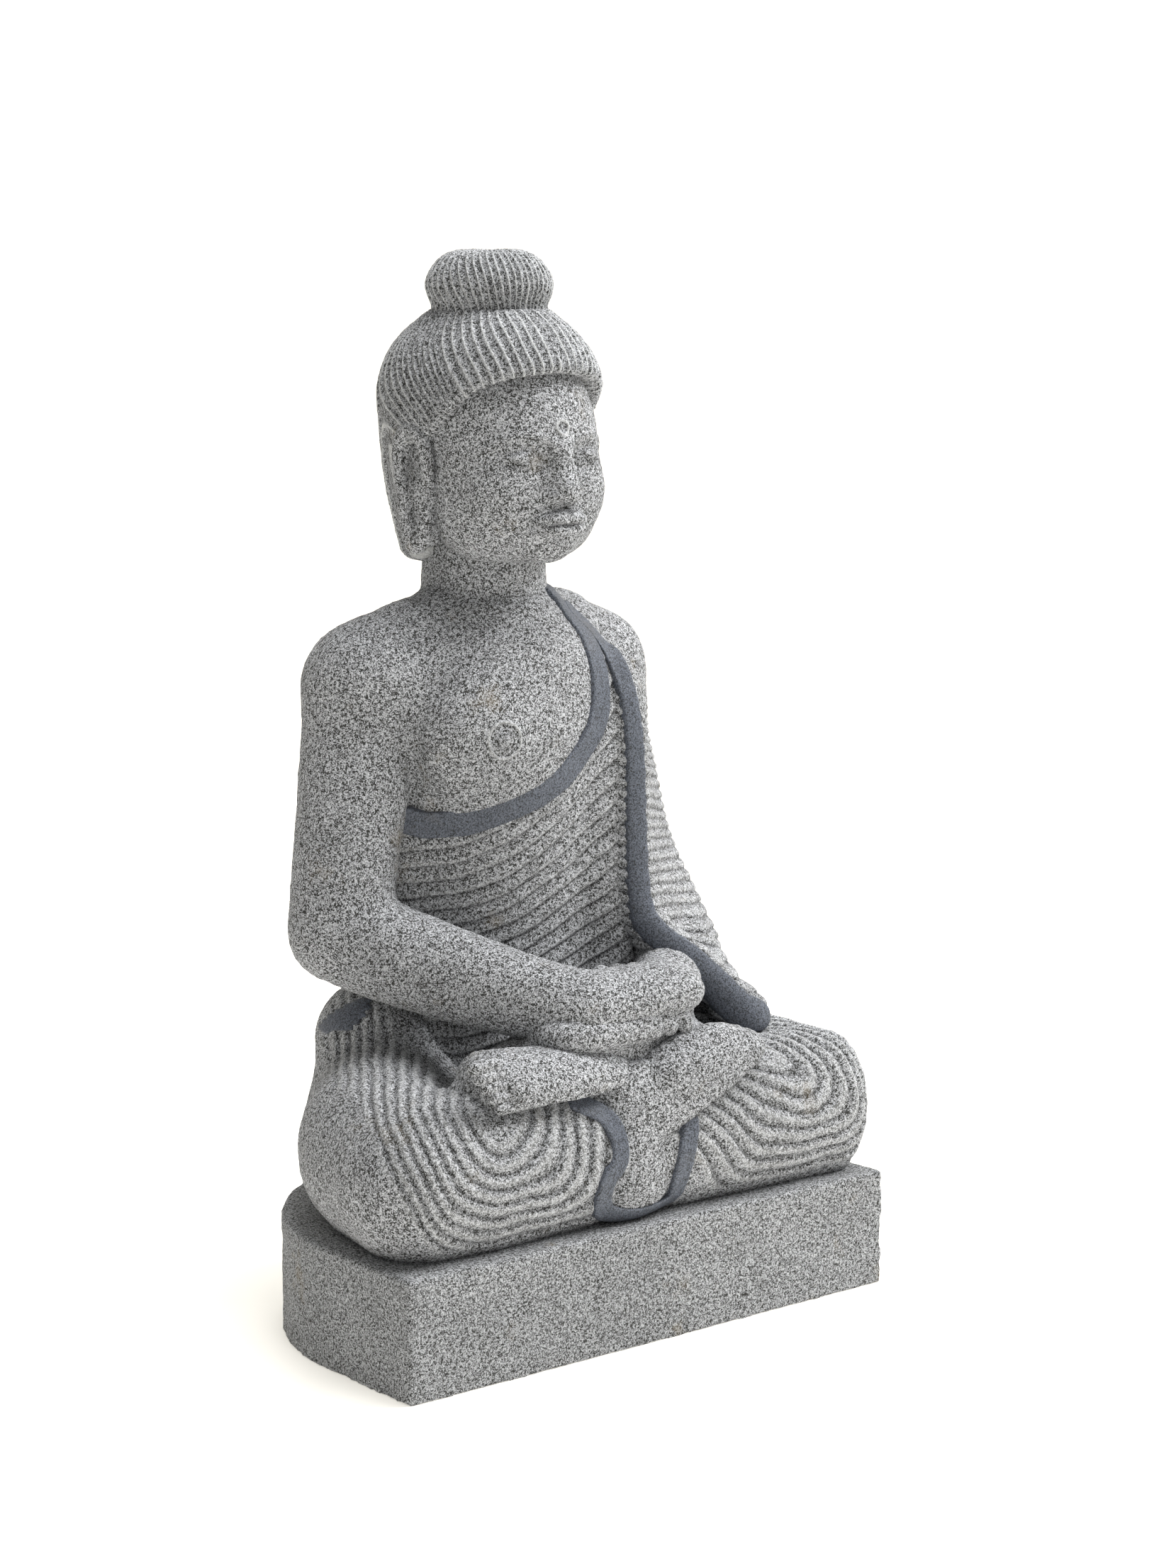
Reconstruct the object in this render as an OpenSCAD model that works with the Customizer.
// Seated buddha statue carved from one block of granite.
// Millimetres. Z is up, the figure faces -Y, and its own right side is at -X.
// Each node is one carved region. A region gives way to the regions listed in its difference,
// so neighbours meet face to face.

/* [Plinth] */
// Width of the plinth, side to side
plinth_w = 435; // [360:1:525]
// Depth of the plinth, front to back
plinth_d = 290; // [240:1:350]
// Height of the plinth
plinth_h = 86; // [60:1:110]
// Length of the straight front part of each side
plinth_side = 103; // [80:1:125]

/* [Figure] */
// Height of the folded legs above the plinth
leg_h = 104; // [86:1:125]
// Height from the top of the legs to the base of the neck
trunk_h = 325; // [271:1:390]
// Height of the bare neck under the chin
neck_h = 27; // [22:1:34]
// Height of the face, chin to hairline
face_h = 104; // [92:1:125]
// Height of the hair cap, hairline to crown
hair_h = 74; // [62:1:89]
// Height of the bun
bun_h = 42; // [35:1:50]
// Distance of the spine behind the middle of the plinth
spine_back = 52; // [40:1:60]

/* [Legs] */
// Margin of plinth left in front of the legs
front_margin = 6; // [4:1:14]
// How far each knee stands out past the side of the plinth
knee_overhang = 2; // [0:1:5]
// Radius of the right knee seen from above
right_knee_r = 48; // [40:1:54]
// Radius of the left knee seen from above
left_knee_r = 28; // [24:1:50]
// Half thickness of the folded legs, front to back
leg_r = 46; // [38:1:54]
// Width of the fan of robe between the feet
drape_w = 78; // [65:1:94]

/* [Torso] */
// Width of the chest
chest_w = 200; // [170:1:240]
// Depth of the chest
chest_d = 162; // [135:1:190]
// Width of the waist
waist_w = 186; // [155:1:220]
// Depth of the waist
waist_d = 142; // [120:1:170]

/* [Arms] */
// Distance between the shoulder joints
shoulder_span = 184; // [155:1:220]
// Radius of each shoulder
shoulder_r = 42; // [36:1:50]
// Distance between the elbows
elbow_span = 292; // [260:1:350]
// Radius of the bare arm at the elbow
elbow_r = 35; // [29:1:42]
// Radius of the wrist
wrist_r = 23; // [19:1:27]

/* [Head] */
// Width of the hair cap
head_w = 156; // [130:1:187]
// Depth of the hair cap
head_d = 176; // [147:1:184]
// Radius of the neck
neck_r = 44; // [37:1:52]
// Radius of the bun
bun_r = 45; // [38:1:54]

/* [Hems] */
// Width of the smooth hem bands
hem_w = 18; // [15:1:22]
// How far a hem band stands out of the stone
hem_proud = 2.5; // [2:0.5:4]

/* [View] */
// Node to draw

/* [Hidden] */

// Facets round a bead, and round a long drum
bead_facets = 16;
drum_facets = 24;

// Height above the floor of a share of the trunk's height
function level(share) = leg_top_z + share * trunk_h;

// Joints of the figure, given for the right side; the left side swaps the sign of X
leg_mid_z = plinth_h + 0.46 * leg_h;
leg_top_z = plinth_h + leg_h;
leg_front_y = -plinth_d / 2 + front_margin;
knee_x = plinth_w / 2 + knee_overhang;
shoulder_z = level(0.816);
elbow_z = level(0.277);
elbow_y = spine_back - 0.045 * plinth_d;
wrist_x = 0.2 * shoulder_span;
wrist_y = leg_front_y + 50;
wrist_z = leg_top_z + 44;
chin_z = level(1) + neck_h;
hairline_z = chin_z + face_h;
crown_z = hairline_z + hair_h;
bun_top_z = crown_z + bun_h;
cap_z = hairline_z + 0.24 * hair_h;
nape_z = chin_z - 2;

// Sizes that follow from the ones above
arm_r = 1.07 * elbow_r;
hem_r = hem_w / 2;
sleeve_r = 0.94 * elbow_r;
half_chest = chest_w / 2;
half_waist = waist_w / 2;

// Outline of the trunk: share of its height, half width, half depth
TRUNK = [[0.035, half_waist + 4, waist_d / 2 + 8], [0.26, half_waist, waist_d / 2],
    [0.47, half_waist, waist_d / 2 + 3], [0.72, half_chest, chest_d / 2],
    [0.845, half_chest - 2, chest_d / 2 - 6], [0.94, shoulder_span / 2 - 18, chest_d / 2 - 20],
    [1, neck_r + 8, neck_r + 2]];

// Helpers

// One rounded bead at p, with a radius or three radii r
module bead(p, r) {
    hull()
        translate(p)
            scale(r)
                sphere(r = 1, $fn = bead_facets);
}

// A smooth limb through a list of points pts with a list of radii rs
module limb(pts, rs) {
    for (i = [0 : len(pts) - 2])
        hull() {
            bead(pts[i], rs[i]);
            bead(pts[i + 1], rs[i + 1]);
        }
}

// A flat round plate of radii r, its top face at height z
module plate(p, r, t = 1) {
    translate([p[0], p[1], p[2] - t])
        scale([r[0], r[1], t])
            cylinder(r = 1, h = 1, $fn = drum_facets);
}

// One level of the trunk
module trunk_plate(t) {
    plate([0, spine_back, level(t[0])], [t[1], t[2]], 4);
}

// Keeps what stands on the plinth
module above_plinth() {
    intersection() {
        children();
        translate([-plinth_w, -plinth_d, plinth_h])
            cube([2 * plinth_w, 2 * plinth_d, leg_h + trunk_h]);
    }
}

// Mirrors a point to side s: 1 is the figure's right, -1 its left
function side(s, p) = [-s * p[0], p[1], p[2]];

// Half width and half depth of the trunk at a share of its height
function trunk_a(share) = lookup(share, [for (t = TRUNK) [t[0], t[1]]]);
function trunk_b(share) = lookup(share, [for (t = TRUNK) [t[0], t[2]]]);

// Point on the front of the trunk at sideways place x and a share of the height, moved out by grow
function trunk_front(x, share, grow) = [
    x,
    spine_back - (trunk_b(share) + grow) * sqrt(max(0.02, 1 - pow(x / (trunk_a(share) + grow), 2))),
    level(share)];

// Full shapes, before any region gives way to another

module plinth_shape() {
    linear_extrude(plinth_h)
        union() {
            translate([-plinth_w / 2, -plinth_d / 2])
                square([plinth_w, plinth_side]);
            intersection() {
                translate([0, plinth_side - plinth_d / 2])
                    scale([plinth_w / 2, plinth_d - plinth_side])
                        circle(r = 1, $fn = 96);
                translate([-plinth_w / 2, -plinth_d / 2])
                    square([plinth_w, plinth_d]);
            }
        }
}

module hips_shape() {
    back_r = plinth_d / 2 - spine_back - 18;
    hull() {
        for (s = [-1, 1]) {
            bead(side(s, [0.205 * plinth_w, spine_back - 4, leg_mid_z]), [64, 62, leg_h * 0.66]);
            bead(side(s, [0.21 * plinth_w, spine_back - 2, plinth_h + 20]), [62, 60, 40]);
        }
        bead([0, spine_back, plinth_h + 30], [130, back_r + 2, 50]);
        bead([0, spine_back, leg_top_z], [100, back_r - 4, 50]);
        for (s = [-1, 1])
            bead(side(s, [0.22 * plinth_w, spine_back + 6, leg_top_z + 16]), [42, 48, 34]);
    }
}

module lap_shape() {
    for (s = [-1, 1])
        hull() {
            bead([0, leg_front_y + 70, leg_mid_z], [50, 50, 0.56 * leg_h]);
            bead([0, spine_back - 40, leg_mid_z], [60, 50, 0.56 * leg_h]);
            bead(side(s, [0.2 * plinth_w, leg_front_y + 96, leg_mid_z]), [50, 50, 0.54 * leg_h]);
        }
}

module thigh_shape(s) {
    r = s > 0 ? right_knee_r : left_knee_r;
    hip = side(s, [0.22 * plinth_w, spine_back - 16, leg_mid_z]);
    mid = side(s, [knee_x - 70, leg_front_y + 119, leg_mid_z + 4]);
    knee = side(s, [knee_x - r, leg_front_y + r + 4, leg_mid_z]);
    limb([hip, mid, knee], [[60, 58, 0.66 * leg_h], [56, 56, 0.6 * leg_h], [r, r, 0.5 * leg_h]]);
}

module shin_shape(s) {
    r = s > 0 ? right_knee_r : left_knee_r;
    knee = side(s, [knee_x - r - 1, leg_front_y + r, leg_mid_z]);
    mid = side(s, [0.27 * plinth_w, leg_front_y + leg_r, leg_mid_z]);
    ankle = side(s, [0.06 * plinth_w, leg_front_y + leg_r, leg_mid_z - 2]);
    limb([knee, mid, ankle], [[r, r, 0.5 * leg_h], [50, leg_r, 0.55 * leg_h], [40, leg_r - 2, 0.5 * leg_h]]);
}

module left_foot_shape() {
    heel = [-0.28 * drape_w, leg_front_y + 34, leg_top_z + 2];
    ball = [-0.26 * plinth_w, leg_front_y + 24, leg_top_z + 6];
    toes = [-0.33 * plinth_w, leg_front_y + 30, leg_top_z + 10];
    limb([heel, ball, toes], [[26, 20, 15], [22, 22, 15], [12, 18, 12]]);
}

module right_foot_shape() {
    ankle = [0.11 * drape_w, leg_front_y + 20, leg_mid_z + 16];
    heel = [0.5 * drape_w, leg_front_y + 28, leg_mid_z + 38];
    ball = [0.24 * plinth_w, leg_front_y + 42, leg_top_z - 2];
    toes = [knee_x - 89, leg_front_y + 56, leg_top_z + 6];
    limb([ankle, heel, ball, toes], [[18, 16, 15], [24, 20, 22], [22, 24, 18], [14, 20, 12]]);
}

module front_drape_shape() {
    top = leg_mid_z + 34;
    hull() {
        for (x = [-0.42, 0.5])
            bead([x * drape_w, leg_front_y + 12, plinth_h + 14], [10, 10, 14]);
        for (x = [-0.28, 0.42])
            bead([x * drape_w, leg_front_y + 14, top], [10, 12, 12]);
        bead([4, leg_front_y + 40, top], [36, 24, 20]);
        bead([4, leg_front_y + 40, plinth_h + 24], [40, 24, 24]);
    }
}

module drape_hem_shape() {
    y = leg_front_y + 4;
    path = [[-0.56, leg_mid_z + 40], [-0.25, leg_mid_z + 22], [-0.22, leg_mid_z + 2],
        [-0.47, plinth_h + 20], [-0.33, plinth_h + 7], [0.0, plinth_h + 7], [0.33, plinth_h + 9],
        [0.47, plinth_h + 24], [0.5, leg_mid_z + 4], [0.56, leg_mid_z + 20]];
    pts = [for (p = path) [p[0] * drape_w, y, p[1]]];
    limb(pts, [for (p = path) [hem_r, 7, hem_r]]);
}

module torso_shape() {
    for (i = [0 : len(TRUNK) - 2])
        hull() {
            trunk_plate(TRUNK[i]);
            trunk_plate(TRUNK[i + 1]);
        }
    for (s = [-1, 1])
        hull() {
            bead(side(s, [half_waist - 20, spine_back + 6, level(0.64)]), [22, 30, 20]);
            bead(side(s, [half_waist - 20, spine_back + 6, level(0.22)]), [22, 34, 20]);
            bead(side(s, [elbow_span / 2 - 16, elbow_y + 8, elbow_z + 4]), [16, 20, 20]);
        }
}

module neck_shape() {
    y = spine_back + 4;
    hull() {
        plate([0, y, chin_z + 17], [neck_r - 1, neck_r - 1], 4);
        plate([0, y, level(0.97)], [neck_r + 2, neck_r + 2], 4);
    }
}

module shoulder_shape(s) {
    top = side(s, [shoulder_span / 2, spine_back, shoulder_z]);
    inner = side(s, [shoulder_span / 2 - 24, spine_back, shoulder_z + 8]);
    limb([inner, top, shoulder_point(s)], [shoulder_r - 4, shoulder_r, shoulder_r]);
}

function shoulder_point(s) = side(s, [shoulder_span / 2 + 10, spine_back, shoulder_z - 26]);
function elbow_point(s) = side(s, [elbow_span / 2, elbow_y, elbow_z]);
function wrist_point(s) = side(s, [wrist_x, wrist_y, wrist_z - (s > 0 ? 0 : 10)]);

module right_upper_arm_shape() {
    a = shoulder_point(1);
    b = elbow_point(1);
    limb([a, (a + b) / 2, b], [shoulder_r - 1, arm_r + 3, elbow_r]);
}

module forearm_shape(s) {
    r = elbow_r - (s > 0 ? 1 : 4);
    a = elbow_point(s);
    b = wrist_point(s);
    limb([a, (2 * a + b) / 3, (a + 2 * b) / 3, b], [r, r, (r + wrist_r) / 2, wrist_r]);
}

module right_hand_shape() {
    a = wrist_point(1);
    palm = [0, wrist_y - 18, wrist_z + 1];
    tips = [0.33 * shoulder_span, wrist_y - 26, wrist_z + 4];
    limb([a, palm, tips], [wrist_r - 1, [34, 24, 16], [14, 24, 12]]);
}

module left_hand_shape() {
    a = wrist_point(-1) - [0, 0, 6];
    palm = [4, wrist_y - 24, wrist_z - 18];
    tips = [-0.3 * shoulder_span, wrist_y - 24, wrist_z - 18];
    limb([a, palm, tips], [wrist_r - 1, [32, 26, 16], [14, 22, 12]]);
}

module left_sleeve_shape() {
    a = shoulder_point(-1);
    b = elbow_point(-1);
    inner_x = 0.74 * half_chest;
    outer = [a, (a + b) / 2, b, b + [10, -20, -34]];
    inner = [[inner_x, -4, a[2]], [inner_x, -8, (a[2] + b[2]) / 2], [inner_x + 4, -14, b[2]],
        [inner_x + 22, -34, b[2] - 8]];
    outer_r = [shoulder_r - 4, sleeve_r + 2, sleeve_r, [sleeve_r, sleeve_r, 30]];
    for (i = [0 : 2])
        hull() {
            bead(outer[i], outer_r[i]);
            bead(outer[i + 1], outer_r[i + 1]);
            bead(inner[i], 18);
            bead(inner[i + 1], 18);
        }
    limb([b, [0.31 * plinth_w, spine_back, leg_top_z + 20]], [sleeve_r - 2, 30]);
}

// Where the sleeve's corner lies on the left thigh
function flap_tip() = [knee_x - 76, leg_front_y + 66, leg_top_z + 8];

module sleeve_flap_shape() {
    top = [elbow_span / 2 - 4, elbow_y - 40, elbow_z - 34];
    low = [min(top[0], flap_tip()[0]), (top[1] + flap_tip()[1]) / 2, (top[2] + flap_tip()[2]) / 2]
        + [-4, 2, 4];
    limb([top, low, flap_tip()], [[22, 24, 26], [18, 22, 20], [14, 18, 12]]);
}

module chest_hem_shape() {
    path = [[0.27, 0.995], [0.38, 0.945], [0.45, 0.876], [0.46, 0.782], [0.34, 0.693], [0.12, 0.622],
        [-0.17, 0.585], [-0.5, 0.558], [-0.78, 0.549], [-0.97, 0.547]];
    pts = [for (p = path) trunk_front(p[0] * half_chest, p[1], hem_proud - 7)];
    limb(pts, [for (p = path) [hem_r, 7, hem_r]]);
}

module sleeve_hem_shape() {
    inner_x = 0.72 * half_chest;
    path = [trunk_front(0.55 * half_chest, 0.943, hem_proud - 7),
        [inner_x - 4, -1, level(0.866)],
        [inner_x + 2, -12, level(0.762)],
        [inner_x + 4, -17, level(0.647)],
        [inner_x + 1, -22, level(0.47)]];
    bend = [inner_x + 2, -29, level(0.273)];
    run = flap_tip() + [-2, -5, 6] - bend;
    turn = [for (t = [[0, 0, 0], [0.24, 0.26, 0.21], [0.59, 0.51, 0.48], [0.82, 0.75, 0.79], [1, 1, 1]])
        bend + [t[0] * run[0], t[1] * run[1], t[2] * run[2]]];
    pts = concat(path, turn);
    limb(pts, [for (p = pts) [hem_r, 8, hem_r]]);
}

module hip_hem_shape() {
    y = spine_back;
    under_arm = 0.65 * elbow_point(1) + 0.35 * wrist_point(1) + [0, 28, 2 - elbow_r];
    pts = [under_arm, [-0.28 * plinth_w, y - 14, leg_top_z + 36],
        [-0.3 * plinth_w, y + 6, leg_top_z + 27], [-0.3 * plinth_w, y + 24, leg_top_z + 12]];
    limb(pts, [for (p = pts) hem_r]);
}

module hair_cap_shape() {
    y = spine_back;
    a = head_w / 2;
    b = head_d / 2;
    rise = crown_z - cap_z;
    hull() {
        plate([0, y, crown_z], [bun_r - 4, bun_r - 4]);
        plate([0, y, cap_z + 0.72 * rise], [0.78 * a, 0.8 * b]);
        plate([0, y, cap_z + 0.4 * rise], [0.94 * a, 0.95 * b]);
        plate([0, y, cap_z], [a, b]);
        plate([0, y + 1, hairline_z], [a - 2, b - 3]);
    }
}

module back_hair_shape() {
    b = head_d / 2;
    hull() {
        plate([0, spine_back + 18, hairline_z], [head_w / 2 - 2, b - 22]);
        plate([0, spine_back + 20, nape_z + 20], [head_w / 2 - 8, b - 32]);
        plate([0, spine_back + 22, nape_z], [neck_r + 10, b - 44]);
    }
    for (s = [-1, 1])
        limb([side(s, [52, spine_back + 22, hairline_z - 30]), side(s, [48, spine_back + 22, nape_z + 12])],
            [[14, 20, 20], [12, 20, 14]]);
}

module head_shape() {
    front = spine_back - head_d / 2;
    nose_z = chin_z + face_h / 3;
    hull() {
        bead([0, spine_back - 10, chin_z + 0.75 * face_h], [head_w / 2 - 14, head_d / 2 - 10, 0.55 * face_h]);
        bead([0, front + 32, chin_z + 20], [25, 30, 20]);
        for (s = [-1, 1])
            bead(side(s, [38, spine_back - 20, chin_z + 34]), [20, 28, 24]);
    }
    hull() {
        bead([0, front + 4, nose_z + face_h / 3], [5, 8, 6]);
        bead([0, front - 2, nose_z + 6], [9, 12, 6]);
    }
}

module ear_shape(s) {
    x = head_w / 2 - 8;
    y = spine_back - 8;
    pts = [side(s, [x, y, chin_z + 0.79 * face_h]), side(s, [x, y + 4, chin_z + 0.54 * face_h]),
        side(s, [x - 8, y, chin_z + 0.17 * face_h])];
    limb(pts, [[9, 15, 16], [8, 12, 16], [7, 9, 10]]);
}

module urna_shape() {
    bead([0, spine_back - head_d / 2 + 8, chin_z + 0.85 * face_h], [6, 9, 6]);
}

module breast_boss_shape() {
    p = trunk_front(-0.5 * half_chest, 0.71, 0);
    hull() {
        bead(p, [12, 4, 12]);
        bead(p - [0, 3, 0], [6, 5, 6]);
    }
}

module topknot_shape() {
    z0 = crown_z;
    h = bun_top_z - crown_z;
    y = spine_back - 4;
    hull() {
        plate([0, y, z0 + 1], [bun_r - 5, bun_r - 5]);
        plate([0, y, z0 + 0.2 * h], [bun_r - 1, bun_r - 1]);
        plate([0, y, z0 + 0.42 * h], [bun_r, bun_r]);
        plate([0, y, z0 + 0.66 * h], [bun_r - 3, bun_r - 3]);
        plate([0, y, z0 + 0.88 * h], [bun_r - 13, bun_r - 13]);
        plate([0, y, bun_top_z], [bun_r - 21, bun_r - 21]);
    }
}

// Nodes

module plinth() {
    color("gray")
        plinth_shape();
}

module topknot() {
    color("silver")
        topknot_shape();
}

module hair_cap() {
    color("silver")
        hair_cap_shape();
}

module back_hair() {
    color("silver")
        difference() {
            back_hair_shape();
            hair_cap_shape();
            neck_shape();
            ear_shape(1);
            ear_shape(-1);
        }
}

module head() {
    color("lightgray")
        difference() {
            head_shape();
            hair_cap_shape();
            back_hair_shape();
            neck_shape();
            ear_shape(1);
            ear_shape(-1);
            urna_shape();
        }
}

module urna() {
    color("white")
        urna_shape();
}

module ear(s) {
    color("lightgray")
        difference() {
            ear_shape(s);
            hair_cap_shape();
            neck_shape();
        }
}

module right_ear() {
    ear(1);
}

module left_ear() {
    ear(-1);
}

module neck() {
    color("lightgray")
        neck_shape();
}

module torso() {
    color("lightgray")
        difference() {
            torso_shape();
            neck_shape();
            chest_hem_shape();
            sleeve_hem_shape();
            breast_boss_shape();
            arm_shapes();
            hips_shape();
        }
}

module arm_shapes() {
    shoulder_shape(1);
    shoulder_shape(-1);
    right_upper_arm_shape();
    left_sleeve_shape();
    forearm_shape(1);
    forearm_shape(-1);
}

module chest_hem() {
    color("dimgray")
        difference() {
            chest_hem_shape();
            neck_shape();
            shoulder_shape(1);
            right_upper_arm_shape();
        }
}

module breast_boss() {
    color("white")
        breast_boss_shape();
}

module right_shoulder() {
    color("lightgray")
        difference() {
            shoulder_shape(1);
            neck_shape();
        }
}

module left_shoulder() {
    color("silver")
        difference() {
            shoulder_shape(-1);
            neck_shape();
            chest_hem_shape();
            sleeve_hem_shape();
        }
}

module right_upper_arm() {
    color("lightgray")
        difference() {
            right_upper_arm_shape();
            shoulder_shape(1);
        }
}

module right_forearm() {
    color("lightgray")
        difference() {
            forearm_shape(1);
            right_upper_arm_shape();
            hips_shape();
        }
}

module right_hand() {
    color("lightgray")
        difference() {
            right_hand_shape();
            forearm_shape(1);
        }
}

module left_sleeve() {
    color("silver")
        difference() {
            left_sleeve_shape();
            shoulder_shape(-1);
            sleeve_hem_shape();
            hips_shape();
            thigh_shape(-1);
        }
}

module sleeve_flap() {
    color("silver")
        difference() {
            sleeve_flap_shape();
            left_sleeve_shape();
            sleeve_hem_shape();
            thigh_shape(-1);
            hips_shape();
            shin_shape(-1);
        }
}

module sleeve_hem() {
    color("dimgray")
        difference() {
            sleeve_hem_shape();
            neck_shape();
            chest_hem_shape();
            thigh_shape(-1);
            shin_shape(-1);
        }
}

module left_forearm() {
    color("lightgray")
        difference() {
            forearm_shape(-1);
            left_sleeve_shape();
            sleeve_flap_shape();
            sleeve_hem_shape();
            right_hand_shape();
            hips_shape();
        }
}

module left_hand() {
    color("lightgray")
        difference() {
            left_hand_shape();
            forearm_shape(-1);
            forearm_shape(1);
            right_hand_shape();
        }
}

module hips() {
    color("silver")
        above_plinth()
            difference() {
                hips_shape();
                hip_hem_shape();
            }
}

module lap() {
    color("silver")
        above_plinth()
            difference() {
                lap_shape();
                hips_shape();
                thigh_shape(1);
                thigh_shape(-1);
                shin_shape(1);
                shin_shape(-1);
                front_drape_shape();
                left_foot_shape();
                right_foot_shape();
                left_hand_shape();
                torso_shape();
            }
}

module hip_hem() {
    color("dimgray")
        difference() {
            hip_hem_shape();
            forearm_shape(1);
            right_upper_arm_shape();
        }
}

module thigh(s) {
    color("silver")
        above_plinth()
            difference() {
                thigh_shape(s);
                hips_shape();
                hip_hem_shape();
            }
}

module right_thigh() {
    thigh(1);
}

module left_thigh() {
    thigh(-1);
}

module shin(s) {
    color("silver")
        above_plinth()
            difference() {
                shin_shape(s);
                thigh_shape(1);
                thigh_shape(-1);
                if (s < 0)
                    shin_shape(1);
                left_foot_shape();
                right_foot_shape();
                front_drape_shape();
                drape_hem_shape();
            }
}

module right_shin() {
    shin(1);
}

module left_shin() {
    shin(-1);
}

module left_foot() {
    color("lightgray")
        difference() {
            left_foot_shape();
            right_foot_shape();
            thigh_shape(1);
            forearm_shape(1);
            left_hand_shape();
            right_hand_shape();
            drape_hem_shape();
        }
}

module right_foot() {
    color("lightgray")
        difference() {
            right_foot_shape();
            thigh_shape(-1);
            left_hand_shape();
            right_hand_shape();
            sleeve_hem_shape();
            sleeve_flap_shape();
            drape_hem_shape();
        }
}

module front_drape() {
    color("silver")
        above_plinth()
            difference() {
                front_drape_shape();
                drape_hem_shape();
                left_foot_shape();
                right_foot_shape();
                left_hand_shape();
            }
}

module drape_hem() {
    color("dimgray")
        above_plinth()
            drape_hem_shape();
}

plinth();
hips();
lap();
right_thigh();
left_thigh();
right_shin();
left_shin();
left_foot();
right_foot();
front_drape();
drape_hem();
torso();
chest_hem();
breast_boss();
right_shoulder();
right_upper_arm();
right_forearm();
right_hand();
left_shoulder();
left_sleeve();
sleeve_flap();
left_forearm();
left_hand();
sleeve_hem();
hip_hem();
neck();
head();
right_ear();
left_ear();
urna();
hair_cap();
back_hair();
topknot();
